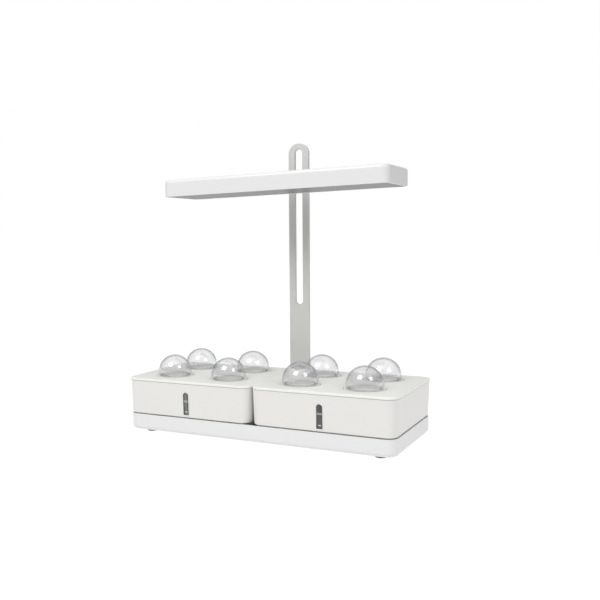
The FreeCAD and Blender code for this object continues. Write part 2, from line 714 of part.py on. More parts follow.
def make_pods():
    number_of_pod = 0
    for side, sign in (("left", "-"), ("right", "")):
        for x, y in hole_places():
            number_of_pod += 1
            name = f"{side}_{number_of_pod if side == 'left' else number_of_pod - 4}"
            across = f"{sign} {tank_pitch} / 2 + {x}"
            along = f"row_y + {y}"
            place(make_cup(f"net_cup_{name}"), across, along, "lid_top - cup_flange")
            place(make_sponge(f"sponge_{name}"), across, along,
                  "lid_top - cup_flange - cup_depth + cup_wall")
            place(make_dome(f"dome_{name}"), across, along, "lid_top")


# Lamp
def make_housing():
    body = new_body("lamp_housing")
    pad(body, outline_of(body, "lamp_length", "lamp_depth", "lamp_corner"), "lamp_height")
    top = number("lamp_height")
    soften(body, "lamp_round", lambda at: near(at.z, top))
    inner = outline_of(body, "(lamp_length - 2 * lamp_wall)", "(lamp_depth - 2 * lamp_wall)",
                       "(lamp_corner - lamp_wall)")
    ledge_low = "(diffuser_recess + diffuser_thickness)"
    pocket(body, inner, ledge_low, backwards=True)
    inset = "(lamp_wall + ledge_width)"
    hollow = outline_of(body, f"(lamp_length - 2 * {inset})", f"(lamp_depth - 2 * {inset})",
                        "(lamp_corner - lamp_wall)", ledge_low)
    pocket(body, hollow, f"lamp_height - lamp_wall - {ledge_low}", backwards=True)
    bosses = sketch_on(body, "XY_Plane", f"lamp_height - lamp_wall - {board_drop}")
    for side_x in ("-", ""):
        for side_y in ("-", ""):
            circle(bosses, "boss_radius", f"{side_x} ({board_length} / 2 - boss_edge)",
                   f"{side_y} ({board_depth} / 2 - boss_edge)")
    pad(body, bosses, f"{board_drop} + lamp_wall / 2")
    button = sketch_on(body, "XY_Plane", "lamp_height")
    circle(button, "button_radius + button_fit", "button_x", "0")
    pocket(body, button, "lamp_wall")
    rear = sketch_on(body, "XZ_Plane", "-lamp_depth / 2")
    circle(rear, "jack_radius + jack_fit", "-jack_x", "lamp_height / 2")
    for x in bracket_screw_places():
        circle(rear, screw_bore, x, f"{bolt_height} - lamp_low")
    pocket(body, rear, "lamp_wall + ledge_width", backwards=True)
    place(body, "0", lamp_middle, "lamp_low")
    return body


def bracket_screw_places():
    aside = "(saddle_width / 2 - saddle_screw_edge)"
    return "-" + aside, aside


def make_diffuser():
    body = new_body("lamp_diffuser")
    inset = "(lamp_wall + diffuser_fit)"
    pad(body, outline_of(body, f"(lamp_length - 2 * {inset})", f"(lamp_depth - 2 * {inset})",
                         f"(lamp_corner - {inset})"), "diffuser_thickness")
    place(body, "0", lamp_middle, "lamp_low + diffuser_recess")
    return body


def make_boards():
    board = new_body("led_board")
    plan = sketch_on(board, "XY_Plane")
    rectangle(plan, board_length, board_depth)
    pad(board, plan, "board_thickness")
    place(board, "0", lamp_middle, f"{board_top} - board_thickness")
    side, height = number("led_side"), number("led_height")
    columns, rows = int(number("led_columns")), int(number("led_rows"))
    length, depth = number(board_length), number(board_depth)
    underside = number(f"{board_top} - board_thickness")
    middle = number(lamp_middle)
    chips = []
    for column in range(columns):
        for row in range(rows):
            x = ((column + 0.5) / columns - 0.5) * length
            y = middle + ((row + 0.5) / rows - 0.5) * depth
            corner = FreeCAD.Vector(x - side / 2, y - side / 2, underside - height)
            chips.append(Part.makeBox(side, side, height, corner))
    group("led_chips", chips)


def make_clamp():
    saddle = new_body("lamp_saddle")
    block = sketch_on(saddle, "XZ_Plane")
    rectangle(block, "saddle_width", "saddle_height", "0", bolt_height)
    pad(saddle, block, "lamp_behind - slide_fit")
    tongue = sketch_on(saddle, "XZ_Plane")
    rectangle(tongue, "(slot_width - 2 * slide_fit)", "tongue_height", "0", bolt_height)
    pad(saddle, tongue, "post_thickness + slide_fit", backwards=True)
    front = "lamp_behind - slide_fit"
    hole = sketch_on(saddle, "XZ_Plane", front)
    circle(hole, "bolt_radius + bolt_fit", "0", bolt_height)
    pocket(saddle, hole, "lamp_behind + post_thickness")
    seat = sketch_on(saddle, "XZ_Plane", front)
    circle(seat, "bolt_head_radius + bolt_fit", "0", bolt_height)
    pocket(saddle, seat, "bolt_head")
    bores = sketch_on(saddle, "XZ_Plane", front)
    for x in bracket_screw_places():
        circle(bores, screw_bore, x, bolt_height)
    pocket(saddle, bores, "saddle_screw_bite + screw_short")
    place(saddle, "0", f"{post_front} - slide_fit", "0")

    plate = new_body("clamp_plate")
    face = sketch_on(plate, "XZ_Plane")
    rounded(face, "clamp_plate_width", "clamp_plate_height", "clamp_plate_corner", "0", bolt_height)
    circle(face, "bolt_radius + bolt_fit", "0", bolt_height)
    pad(plate, face, "clamp_plate_thickness", backwards=True)
    place(plate, "0", f"{post_back} + slide_fit", "0")

    height = number(bolt_height)
    bolt_end = number(f"{knob_from} + knob_length - knob_cap - bolt_short")
    shank = bolt_end - number(f"{lamp_back} + bolt_head")
    group("clamp_bolt", [screw(FreeCAD.Vector(0, bolt_end, height), (0, 1, 0), shank,
                               "bolt_head", "bolt_radius", "bolt_head_radius")])
    screw_end = number(f"{lamp_back} + saddle_screw_bite")
    shank = number("lamp_wall + ledge_width + saddle_screw_bite")
    group("saddle_screws", [screw(FreeCAD.Vector(number(x), screw_end, height), (0, 1, 0), shank)
                            for x in bracket_screw_places()])


def make_knob():
    """A fluted knob with a blind bore, turned round Y by its placement."""
    knob = new_body("clamp_knob")
    profile = sketch_on(knob, "XZ_Plane")
    bore = "(bolt_radius + bolt_fit)"
    outline(profile, (bore, "0"), ("knob_radius", "0"), ("knob_radius", "knob_length - knob_bevel"),
            ("knob_radius - knob_bevel", "knob_length"), ("0", "knob_length"),
            ("0", "knob_length - knob_cap"), (bore, "knob_length - knob_cap"), (bore, "0"))
    turn(knob, profile)
    flute = sketch_on(knob, "XY_Plane")
    circle(flute, "knob_flute_radius", "knob_radius + knob_flute_radius - knob_flute_depth", "0")
    cut = pocket(knob, flute, "knob_length", backwards=True)
    polar(knob, [cut], "knob_flutes")
    place(knob, "0", knob_from, bolt_height)
    knob.Placement.Rotation = FreeCAD.Rotation(FreeCAD.Vector(1, 0, 0), -90)


# Button, its switch and the inlet
def make_controls():
    button = new_body("power_button")
    profile = sketch_on(button, "XZ_Plane")
    collar = "(button_radius + button_fit + button_collar)"
    stem_end = "-(button_flange + button_stem)"
    outline(profile, ("0", stem_end), ("button_stem_radius", stem_end),
            ("button_stem_radius", "-button_flange"), (collar, "-button_flange"), (collar, "0"),
            ("button_radius", "0"), ("button_radius", f"{cap} - button_bevel"),
            ("button_radius - button_bevel", cap), ("0", cap), ("0", stem_end))
    turn(button, profile)
    place(button, "button_x", lamp_middle, f"{lamp_roof} - button_seat")

    switch = new_body("button_switch")
    plan = sketch_on(switch, "XY_Plane")
    rectangle(plan, "switch_side", "switch_side")
    pad(switch, plan, "switch_height")
    place(switch, "button_x", lamp_middle, board_top)

    jack = new_body("power_inlet")
    profile = sketch_on(jack, "XZ_Plane")
    outline(profile, ("0", "-jack_depth"), ("jack_radius", "-jack_depth"), ("jack_radius", "0"),
            ("jack_flange_radius", "0"), ("jack_flange_radius", "jack_flange"), ("jack_bore", "jack_flange"),
            ("jack_bore", "jack_flange - jack_bore_depth"), ("0", "jack_flange - jack_bore_depth"),
            ("0", "-jack_depth"))
    turn(jack, profile)
    pin = new_body("inlet_pin")
    disc = sketch_on(pin, "XY_Plane", "jack_flange - jack_bore_depth")
    circle(disc, "jack_pin")
    pad(pin, disc, "jack_bore_depth - jack_pin_in")
    for item in (jack, pin):
        place(item, "-jack_x", lamp_back, "lamp_low + lamp_height / 2")
        item.Placement.Rotation = FreeCAD.Rotation(FreeCAD.Vector(1, 0, 0), -90)


make_tray()
make_feet()
make_post()
make_socket()
make_base_screws()
for side, sign in (("left", "-"), ("right", "")):
    make_tank(side, sign)
    make_window(side, sign)
    make_lid(side, sign)
make_pods()
make_housing()
make_diffuser()
make_boards()
make_clamp()
make_knob()
make_controls()

doc.recompute()

for item in doc.Objects:
    if "Invalid" in item.State or "Error" in item.State:
        raise RuntimeError(f"{item.Label} did not build: {item.State}")

os.makedirs("parts", exist_ok=True)
pieces = [item for item in doc.Objects if item.TypeId in ("PartDesign::Body", "Part::Feature")]
for piece in pieces:
    shape = piece.Shape
    if shape.isNull() or not shape.isValid():
        raise RuntimeError(f"{piece.Label} has no valid shape")
    shape.exportStep(f"parts/{piece.Label}.step")
print(len(pieces), "pieces written")
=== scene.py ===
# %% [markdown]
# # Countertop hydroponic garden
#
# Two water tanks stand side by side on a tray, each under a flat lid with four planting holes, and a lamp
# bar slides on a slotted post behind them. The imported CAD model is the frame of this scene: its nodes
# keep their places and shapes. The script gives every node its finish, replaces what the solids only
# approximate, adds what is too fine for them, and sets light and camera. Everything is in metres: X runs
# along the row of tanks, Y to the back and Z up.

import json
import math

import bmesh
import bpy
from mathutils import Matrix, Vector


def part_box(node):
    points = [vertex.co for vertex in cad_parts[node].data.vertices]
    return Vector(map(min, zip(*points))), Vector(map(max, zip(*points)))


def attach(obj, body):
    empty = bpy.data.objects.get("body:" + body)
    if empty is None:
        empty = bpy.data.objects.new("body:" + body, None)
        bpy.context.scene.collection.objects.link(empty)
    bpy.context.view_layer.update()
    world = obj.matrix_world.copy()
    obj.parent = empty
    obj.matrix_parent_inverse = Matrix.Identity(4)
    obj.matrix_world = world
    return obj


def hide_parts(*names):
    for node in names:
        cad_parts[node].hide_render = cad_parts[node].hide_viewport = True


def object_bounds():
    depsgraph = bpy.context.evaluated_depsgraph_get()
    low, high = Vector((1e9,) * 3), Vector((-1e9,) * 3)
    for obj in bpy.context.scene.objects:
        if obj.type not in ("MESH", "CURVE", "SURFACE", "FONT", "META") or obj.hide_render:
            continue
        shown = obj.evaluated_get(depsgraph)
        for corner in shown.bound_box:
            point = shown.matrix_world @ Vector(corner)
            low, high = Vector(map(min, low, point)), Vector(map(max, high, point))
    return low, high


MM = 0.001
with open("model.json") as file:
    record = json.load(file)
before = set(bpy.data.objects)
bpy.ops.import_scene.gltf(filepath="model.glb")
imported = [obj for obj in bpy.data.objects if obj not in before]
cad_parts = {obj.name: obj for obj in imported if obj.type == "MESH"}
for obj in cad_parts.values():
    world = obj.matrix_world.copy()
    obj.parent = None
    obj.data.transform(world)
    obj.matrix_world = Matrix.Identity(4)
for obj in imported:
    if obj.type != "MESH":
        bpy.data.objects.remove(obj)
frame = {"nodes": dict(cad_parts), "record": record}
cad_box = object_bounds()
nodes = frame["nodes"]
print("CAD box", [tuple(round(value, 4) for value in corner) for corner in cad_box])

# %% [markdown]
# ## Camera
#
# A product photograph is taken from a little above the tanks and from the right, with the picture cropped
# afterwards, so that the optical axis isn't in its middle. Blender could be given a camera by eye, but
# then no edge would lie where the photograph has it. Here the place, the turn, the focal length in pixels
# and the principal point were worked out once from the corners of the lids, the tray and the lamp, and
# the shift puts the principal point where it belongs.

# %% Camera
PHOTO = 600
FOCAL = 793.5
PRINCIPAL = (165.1, 335.0)
STANDS_AT = Vector((470.7, -1056.0, 269.9)) * MM
YAW, PITCH, ROLL = (math.radians(angle) for angle in (32.21, 6.17, -1.42))
SENSOR = 36.0

ahead = Vector((-math.sin(YAW) * math.cos(PITCH), math.cos(YAW) * math.cos(PITCH), -math.sin(PITCH)))
level = Vector((math.cos(YAW), math.sin(YAW), 0))
upright = level.cross(ahead)
right = math.cos(ROLL) * level + math.sin(ROLL) * upright
up = math.cos(ROLL) * upright - math.sin(ROLL) * level

lens = bpy.data.cameras.new("photo_camera")
lens.sensor_width = SENSOR
lens.lens = FOCAL * SENSOR / PHOTO
lens.shift_x = (PHOTO / 2 - PRINCIPAL[0]) / PHOTO
lens.shift_y = (PRINCIPAL[1] - PHOTO / 2) / PHOTO
lens.clip_start, lens.clip_end = 0.05, 50
camera = bpy.data.objects.new("photo_camera", lens)
axes = Matrix((right, up, -ahead)).transposed()
camera.matrix_world = Matrix.Translation(STANDS_AT) @ axes.to_4x4()
bpy.context.scene.collection.objects.link(camera)
bpy.context.scene.camera = camera
print("focal length", round(lens.lens, 1), "mm, shift", round(lens.shift_x, 3), round(lens.shift_y, 3))

# %% [markdown]
# ## Shader maths
#
# A finish is mostly arithmetic: a base value, plus a little noise, times a mask. Node trees show that as
# a web of boxes, which is hard to read. `Socket` wraps one output and overloads the operators, so that
# `1 - mask` or `0.4 + grain * 0.1` adds the Math nodes by itself, and `Look.add` makes any other node
# from its type, its settings and what its sockets get. `Look` serves the materials and the world.


# %% Shader maths
class Socket:
    """One output in a node tree. Arithmetic on it adds Math nodes."""

    def __init__(self, look, output):
        self.look = look
        self.output = output

    def maths(self, operation, first, second, clamp=False):
        settings = {"operation": operation, "use_clamp": clamp}
        return self.look.add("ShaderNodeMath", settings, {0: first, 1: second})

    def __add__(self, other):
        return self.maths("ADD", self, other)

    def __radd__(self, other):
        return self.maths("ADD", other, self)

    def __sub__(self, other):
        return self.maths("SUBTRACT", self, other)

    def __rsub__(self, other):
        return self.maths("SUBTRACT", other, self)

    def __mul__(self, other):
        return self.maths("MULTIPLY", self, other)

    def __rmul__(self, other):
        return self.maths("MULTIPLY", other, self)

    def __pow__(self, other):
        return self.maths("POWER", self, other)

    def __rpow__(self, other):
        return self.maths("POWER", other, self)

    def limited(self):
        """The same value, held between 0 and 1."""
        return self.maths("ADD", self, 0.0, clamp=True)

    def between(self, low, high):
        """0 where this is low, 1 where it is high, smooth between them."""
        settings = {"interpolation_type": "SMOOTHSTEP"}
        return self.look.add("ShaderNodeMapRange", settings, {0: self, 1: low, 2: high})


class Look:
    """The node tree of one material, or of the world."""

    def __init__(self, owner):
        owner.use_nodes = True
        self.owner = owner
        self.tree = owner.node_tree
        self.tree.nodes.clear()

    def add(self, kind, settings=None, sockets=None, out=0):
        """A node of that kind. Its settings are set first, then its sockets get a value or a link."""
        made = self.tree.nodes.new(kind)
        for key, value in (settings or {}).items():
            setattr(made, key, value)
        for key, value in (sockets or {}).items():
            if isinstance(value, Socket):
                self.tree.links.new(value.output, made.inputs[key])
            else:
                made.inputs[key].default_value = value
        return Socket(self, made.outputs[out]) if made.outputs else made


print("operators on sockets:", "+ - * ** and their reflected forms")

# %% [markdown]
# ## Patterns that the finishes share
#
# Moulded, blasted and foamed surfaces differ in scale more than in kind, so all of them are drawn with
# the same few patterns in the object's own coordinates, where one unit is a metre: noise, noise stretched
# along an axis as rolling or turning leaves it, cells, a blend of two colours, and a bump whose height is
# a real length. A scale of 1000 gives features of about a millimetre. Object coordinates need no
# unwrapping, and they move with a piece when its joint moves.


# %% Patterns
def material_look(name):
    return Look(bpy.data.materials.new(name))


def place_of(look):
    return look.add("ShaderNodeTexCoord", out="Object")


def height_of(look):
    """How far up a point lies, in metres."""
    return look.add("ShaderNodeSeparateXYZ", None, {0: place_of(look)}, out=2)


def stretched(look, x, y, z):
    """The place, with each axis scaled by itself."""
    return look.add("ShaderNodeVectorMath", {"operation": "MULTIPLY"}, {0: place_of(look), 1: (x, y, z)})


def noise(look, scale, detail=2.0, rough=0.5, place=None):
    sockets = {"Vector": place or place_of(look), "Scale": scale, "Detail": detail, "Roughness": rough}
    return look.add("ShaderNodeTexNoise", None, sockets)


def cells(look, scale, metric="EUCLIDEAN"):
    sockets = {"Vector": place_of(look), "Scale": scale}
    return look.add("ShaderNodeTexVoronoi", {"distance": metric}, sockets)


def blend(look, amount, first, second):
    """The first colour where the amount is 0, the second where it is 1."""
    sockets = {"Factor": amount, 6: first, 7: second}
    return look.add("ShaderNodeMix", {"data_type": "RGBA"}, sockets, out=2)


def swing(pattern, amount):
    """The pattern about 0, so that it shifts a value both ways."""
    return (pattern - 0.5) * amount


def relief(look, height, depth, strength=1.0):
    """A bump. depth is how far, in metres, a height of 1 stands out."""
    return look.add("ShaderNodeBump", None, {"Strength": strength, "Distance": depth, "Height": height})


def surface(look, **sockets):
    """A Principled shader. A space in a socket's name is written as _."""
    named = {key.replace("_", " "): value for key, value in sockets.items()}
    return look.add("ShaderNodeBsdfPrincipled", None, named)


def finished(look, shader):
    look.add("ShaderNodeOutputMaterial", None, {"Surface": shader})
    return look.owner


def toned(colour, factor):
    """An RGB colour made lighter or darker, with alpha 1."""
    return tuple(min(part * factor, 1.0) for part in colour) + (1.0,)


def mottled(look, pattern, colour, dark, pale):
    """The colour times the first factor where the pattern is 0, and times the second where it is 1."""
    return blend(look, pattern, toned(colour, dark), toned(colour, pale))


print("patterns: noise, stretched noise, cells, blend, swing, relief, mottled")

# %% [markdown]
# ## Moulded plastic
#
# The tray, tanks, lids, cups and lamp housing are injection moulded in white plastic, from moulds whose
# steel was blasted to a fine satin. Seen close, that is a grain of a few hundredths of a millimetre, seen
# from afar only a soft gloss that wanders a little. The grain is a fine noise in the bump, and a broad
# noise shifts the tone by about 2 %, because a perfectly even white looks drawn. Where a lid meets its
# tank, both edges have a small round that lies in shadow. The solids could carry those rounds, but at
# this distance only their shade counts, so a narrow band of darker tone follows that level.


# %% Moulded plastic
PLASTIC_IOR = 1.47
BROAD_SCALE, CLOUDY_SCALE, GRAIN_SCALE = 7.0, 60.0, 2200.0
GRAIN_UNIT = 0.01 * MM
GROOVE = 0.6 * MM
GROOVE_SHADE_SHARE, GROOVE_SHADE_TONE = 0.6, 0.25


def moulded(name, colour, roughness, grain=0.35, drift=0.02, seam=None):
    """Satin plastic. grain is the height of its texture in hundredths of a millimetre, and seam the level
    of an edge whose small round lies in shadow."""
    look = material_look(name)
    broad = noise(look, BROAD_SCALE, detail=3.0)
    cloudy = noise(look, CLOUDY_SCALE)
    fine = noise(look, GRAIN_SCALE, detail=1.0, rough=0.6)
    tone = mottled(look, broad, colour, 1 - drift, 1 + drift)
    if seam:
        height = height_of(look)
        below = height.between(seam - GROOVE, seam - GROOVE / 2)
        above = height.between(seam + GROOVE, seam + GROOVE / 2)
        # A narrow band of painted shade along the seam, for the shadow in the groove between lid and tank.
        tone = blend(look, below * above * GROOVE_SHADE_SHARE, tone, toned(colour, GROOVE_SHADE_TONE))
    gloss = roughness + swing(cloudy, 0.10) + swing(fine, 0.06)
    shader = surface(look, Base_Color=tone, Roughness=gloss, IOR=PLASTIC_IOR,
                     Normal=relief(look, fine, grain * GRAIN_UNIT, strength=0.5))
    return finished(look, shader)


lid_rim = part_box("tank_left")[1].z
looks = {
    "tray_white": moulded("moulded_tray", (0.735, 0.735, 0.740), 0.42),
    "tank_white": moulded("moulded_tank", (0.725, 0.718, 0.698), 0.40, seam=lid_rim),
    "lid_white": moulded("moulded_lid", (0.790, 0.790, 0.762), 0.36, seam=lid_rim),
    "lamp_white": moulded("moulded_lamp", (0.680, 0.680, 0.678), 0.34),
    "socket_white": moulded("moulded_socket", (0.70, 0.70, 0.69), 0.45),
    "clamp_grey": moulded("moulded_clamp", (0.36, 0.36, 0.35), 0.45),
    "knob_dark": moulded("moulded_knob", (0.035, 0.035, 0.036), 0.5, grain=0.8, drift=0.05),
    "bezel_pale": moulded("moulded_bezel", (0.80, 0.80, 0.78), 0.25, grain=0.1),
    "cup_white": moulded("moulded_cup", (0.77, 0.77, 0.75), 0.40),
    "button_grey": moulded("moulded_button", (0.62, 0.62, 0.61), 0.35),
    "black_plastic": moulded("moulded_black", (0.02, 0.02, 0.02), 0.4, grain=0.6, drift=0.05),
    "chip_yellow": moulded("lamp_chip", (0.80, 0.62, 0.12), 0.3, grain=0.1, drift=0.05),
}
print("moulded finishes", len(looks), "with the seam at z", round(lid_rim, 4))

# %% [markdown]
# ## Anodised post and steel screws
#
# The post is a flat aluminium bar, blasted and anodised in a pale grey. It is metal, but its oxide
# scatters light nearly as paint does, so it is only slightly metallic and has faint lines along its
# length from rolling. The screws are zinc-plated steel with the fine rings of turning. Both are noise
# stretched hard along one axis, which is cheaper than real grooves and holds at any distance.


# %% Anodised post and steel screws
OXIDE_METAL = 0.15
BLAST_SCALE, BLAST_DEPTH = 2600.0, 0.004 * MM


def anodised(name, colour, roughness):
    look = material_look(name)
    rolled = noise(look, 1.0, detail=3.0, rough=0.6, place=stretched(look, 900.0, 900.0, 6.0))
    blasted = noise(look, BLAST_SCALE, detail=1.0)
    gloss = roughness + swing(rolled, 0.08) + swing(blasted, 0.10)
    shader = surface(look, Base_Color=mottled(look, rolled, colour, 0.97, 1.03), Metallic=OXIDE_METAL,
                     Roughness=gloss, Normal=relief(look, blasted, BLAST_DEPTH, strength=0.6))
    return finished(look, shader)


def turned_steel(name, colour):
    look = material_look(name)
    rings = noise(look, 1.0, place=stretched(look, 300.0, 3000.0, 3000.0))
    shader = surface(look, Base_Color=mottled(look, rings, colour, 0.9, 1.05), Metallic=1.0,
                     Roughness=0.3 + rings * 0.15)
    return finished(look, shader)


looks["post_grey"] = anodised("anodised_post", (0.600, 0.603, 0.585), 0.42)
looks["screw_steel"] = turned_steel("zinc_steel", (0.56, 0.56, 0.57))
print("metals: post_grey, screw_steel")

# %% [markdown]
# ## Rubber feet and planting foam
#
# The feet are black rubber that picks up dust, so their tone varies from black to dark grey. The sponges
# in the cups are open foam: pores with pale walls. A cell pattern with some noise on it gives the depth of
# the pores, and darkens their colour as painted shade in the hollows, so that light and shade agree.


# %% Rubber and foam
PORES_SCALE, PORE_DEPTH = 900.0, 0.4 * MM
DUST_DEPTH = 0.02 * MM


def rubber(name, colour):
    look = material_look(name)
    dusty = noise(look, 900.0, detail=3.0, rough=0.6)
    shader = surface(look, Base_Color=mottled(look, dusty, colour, 0.8, 1.4),
                     Roughness=0.75 + dusty * 0.15, Normal=relief(look, dusty, DUST_DEPTH))
    return finished(look, shader)


def foam(name, colour):
    look = material_look(name)
    ragged = noise(look, 1500.0, detail=3.0, rough=0.7)
    wall = (cells(look, PORES_SCALE) * 1.4 + ragged * 0.4).limited()
    # Dark in the middle of each pore: painted shade in the hollows.
    shader = surface(look, Base_Color=mottled(look, wall, colour, 0.35, 1.3), Roughness=0.95,
                     Normal=relief(look, wall, PORE_DEPTH))
    return finished(look, shader)


looks["foot_rubber"] = rubber("foot_rubber", (0.02, 0.02, 0.02))
looks["sponge_dark"] = foam("planting_foam", (0.62, 0.60, 0.53))
print("soft finishes: foot_rubber, sponge_dark")

# %% [markdown]
# ## Lamp: diffuser and board
#
# Under the lamp lies an opal sheet. Its flat grey, darker than the housing, is partly its own colour while
# the lamp is off and partly painted shade, as it faces down under the bar. It has faint lines along its
# length from extrusion. The board over it is white solder resist with faint traces; a cell pattern
# measured in right angles gives lines that run like conductors.


# %% Diffuser and board
OPAL_IOR = 1.49
TRACK_SCALE, TRACK_EDGES = 160.0, (0.44, 0.5)


def opal(name, colour):
    look = material_look(name)
    drawn = noise(look, 1.0, place=stretched(look, 8.0, 420.0, 8.0))
    shader = surface(look, Base_Color=mottled(look, drawn, colour, 0.95, 1.05),
                     Roughness=0.42 + drawn * 0.1, IOR=OPAL_IOR)
    return finished(look, shader)


def circuit_board(name, resist, trace):
    look = material_look(name)
    tracks = cells(look, TRACK_SCALE, "MANHATTAN").between(*TRACK_EDGES)
    shader = surface(look, Base_Color=blend(look, tracks, resist, trace), Roughness=0.35 + tracks * 0.1)
    return finished(look, shader)


# The diffuser's dark grey is partly its own colour and partly painted shade under the bar.
looks["diffuser"] = opal("opal_diffuser", (0.150, 0.152, 0.150))
looks["board_white"] = circuit_board("lamp_board", (0.72, 0.72, 0.70, 1), (0.60, 0.60, 0.57, 1))
print("lamp finishes: diffuser, board_white")

# %% [markdown]
# ## Smoked windows
#
# Each tank has an arched window of smoked plastic, with paler upright streaks in it. Real transparency
# would show the inside of the tank, which is white and would wash it out. An opaque dark plastic under a
# clear coat, with the streaks in its colour, comes closer to what the window looks like: the dark colour
# is partly the smoked plastic's own and partly painted shade of the tank's unlit inside, and the streaks
# are painted light seen through it.


# %% Smoked windows
STREAK_EDGES = (0.42, 0.72)
CLEAR_COAT = {"Coat_Weight": 0.5, "Coat_Roughness": 0.05}


def smoked(name, dark, pale):
    look = material_look(name)
    upright_noise = noise(look, 1.0, rough=0.6, place=stretched(look, 520.0, 520.0, 9.0))
    # Paler upright streaks: painted light seen through the lens.
    streaks = upright_noise.between(*STREAK_EDGES)
    shader = surface(look, Base_Color=blend(look, streaks, dark, pale), Roughness=0.16 + streaks * 0.12,
                     **CLEAR_COAT)
    return finished(look, shader)


# The dark colour is partly the smoked plastic's own and partly painted shade of the tank's inside.
looks["lens_smoke"] = smoked("smoked_lens", (0.035, 0.035, 0.036, 1), (0.16, 0.16, 0.165, 1))
print("window finish: lens_smoke")

# %% [markdown]
# ## Clear domes: the finish
#
# The domes are thin clear plastic. One sees them by three things: the two bright softboxes mirrored in
# them, a thin dark line round the edge, where one looks along the wall, and a slight grey haze. A glass
# shader bends light through two walls and stays noisy, so the wall here is a transparent shader with a
# mirror mixed in. The mirror's share rises with the fifth power of how far the wall is seen edge on, as
# Schlick's formula has it. Blender's Fresnel node would give total reflection on the inner faces, which
# shows as a broad dark ring. Over a slight even haze, a grey painted shade grows towards the crown, and a
# dark painted shade draws the thin line at the edge, where the wall is seen edge on.


# %% Clear domes: the finish
TINT = (0.985, 0.986, 0.99, 1)
# The grey of a slight haze and of the painted shade towards the crown, then the dark painted shade of the
# edge line.
HAZE_AND_SHADE = (0.40, 0.392, 0.41, 1)
RIM_SHADE = (0.10, 0.10, 0.105, 1)
MIRROR_POWER, MIRROR_EDGE_ON, MIRROR_FACING = 5.0, 0.9, 0.07
RIM_POWER, RIM_GAIN = 7.0, 1.6
# Shares of painted shade at the edge and towards the crown, and of a real slight haze everywhere.
RIM_SHADE_VEIL, CROWN_SHADE_VEIL, LEAST_VEIL = 0.5, 0.07, 0.006


def clear_plastic(name, foot, crown):
    """Clear plastic whose painted shade grows from the level foot to the level crown."""
    look = material_look(name)
    height = height_of(look).between(foot, crown)
    edge_on = look.add("ShaderNodeLayerWeight", None, {"Blend": 0.5}, out="Facing")
    mirrored = edge_on ** MIRROR_POWER * MIRROR_EDGE_ON + MIRROR_FACING
    beads = noise(look, 700.0)
    clear = look.add("ShaderNodeBsdfTransparent", None, {"Color": TINT})
    mirror = surface(look, Base_Color=(1, 1, 1, 1), Metallic=1.0, Roughness=0.012 + beads * 0.01)
    wall = look.add("ShaderNodeMixShader", None, {0: mirrored, 1: clear, 2: mirror})
    # Painted shade where the wall is seen edge on.
    rim_shade = (edge_on ** RIM_POWER * RIM_GAIN).limited()
    haze_and_shade = surface(look, Base_Color=blend(look, rim_shade, HAZE_AND_SHADE, RIM_SHADE), Roughness=0.35 + beads * 0.1)
    # The veil mixes the painted shade at the edge and towards the crown over a slight even haze.
    veil = rim_shade * RIM_SHADE_VEIL + height * CROWN_SHADE_VEIL + LEAST_VEIL + swing(beads, 0.006)
    return finished(look, look.add("ShaderNodeMixShader", None, {0: veil.limited(), 1: wall, 2: haze_and_shade}))


dome_low, dome_high = (corner.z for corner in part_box("dome_left_1"))
looks["dome_clear"] = clear_plastic("clear_dome", dome_low, dome_high)
print("dome finish between z", round(dome_low, 4), "and", round(dome_high, 4))

# %% [markdown]
# ## Dress the CAD nodes
#
# The record says which finish each node has. Its slots are emptied and filled with that finish, and its
# curved faces are shaded smooth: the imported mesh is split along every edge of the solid, so those edges
# stay crisp.

# %% Dress the CAD nodes
for part in frame["record"]["subparts"]:
    node = nodes[part["node"]]
    node.data.materials.clear()
    node.data.materials.append(looks[part["material_slot"]])
    node.data.shade_smooth()

# %% [markdown]
# ## Clear domes: the shape
#
# In the solids a dome is a stack of conical bands, which keeps it light for the motion model but shows as
# rings. The real one is a smooth shell, a little more than half a ball, with a ring that drops into the
# cup. It is turned here as it would be on a lathe: half of its section is drawn once with true arcs and
# spun round the middle, and only the edges that bend sharply are kept sharp.


# %% Clear domes: the shape
DOME_TURNS, DOME_STEPS = 72, 30
SHARP = math.radians(32)


def arc(radius, middle, start, end, steps):
    """Points (radius, height) on an arc round a point on the axis, angles in degrees above the horizon."""
    angles = [math.radians(start + (end - start) * step / steps) for step in range(steps + 1)]
    return [(radius * math.cos(angle), middle + radius * math.sin(angle)) for angle in angles]


def spun(section, x, y):
    """The closed section turned round an upright axis through x and y."""
    mesh = bmesh.new()
    ring = [mesh.verts.new((radius, 0, height)) for radius, height in section]
    edges = [mesh.edges.new(pair) for pair in zip(ring, ring[1:])]
    bmesh.ops.spin(mesh, geom=ring + edges, cent=(0, 0, 0), axis=(0, 0, 1), angle=math.tau,
                   steps=DOME_TURNS)
    bmesh.ops.remove_doubles(mesh, verts=mesh.verts, dist=0.001 * MM)
    bmesh.ops.recalc_face_normals(mesh, faces=mesh.faces)
    bmesh.ops.translate(mesh, verts=mesh.verts, vec=(x, y, 0))
    return mesh


def softened(mesh):
    """Smooth shading, but for edges that bend by SHARP or more."""
    for face in mesh.faces:
        face.smooth = True
    for edge in mesh.edges:
        edge.smooth = edge.calc_face_angle(0) < SHARP


def piece(name, mesh, body, finish):
    """An object made from the mesh, that rides on a body."""
    data = bpy.data.meshes.new(name)
    mesh.to_mesh(data)
    mesh.free()
    data.materials.append(finish)
    made = bpy.data.objects.new(name, data)
    bpy.context.scene.collection.objects.link(made)
    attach(made, body)
    return made


WALL = 1.3 * MM
RING_DEPTH = 2.2 * MM
RING_WALL = 1.2 * MM
RING_RADIUS = 20.7 * MM


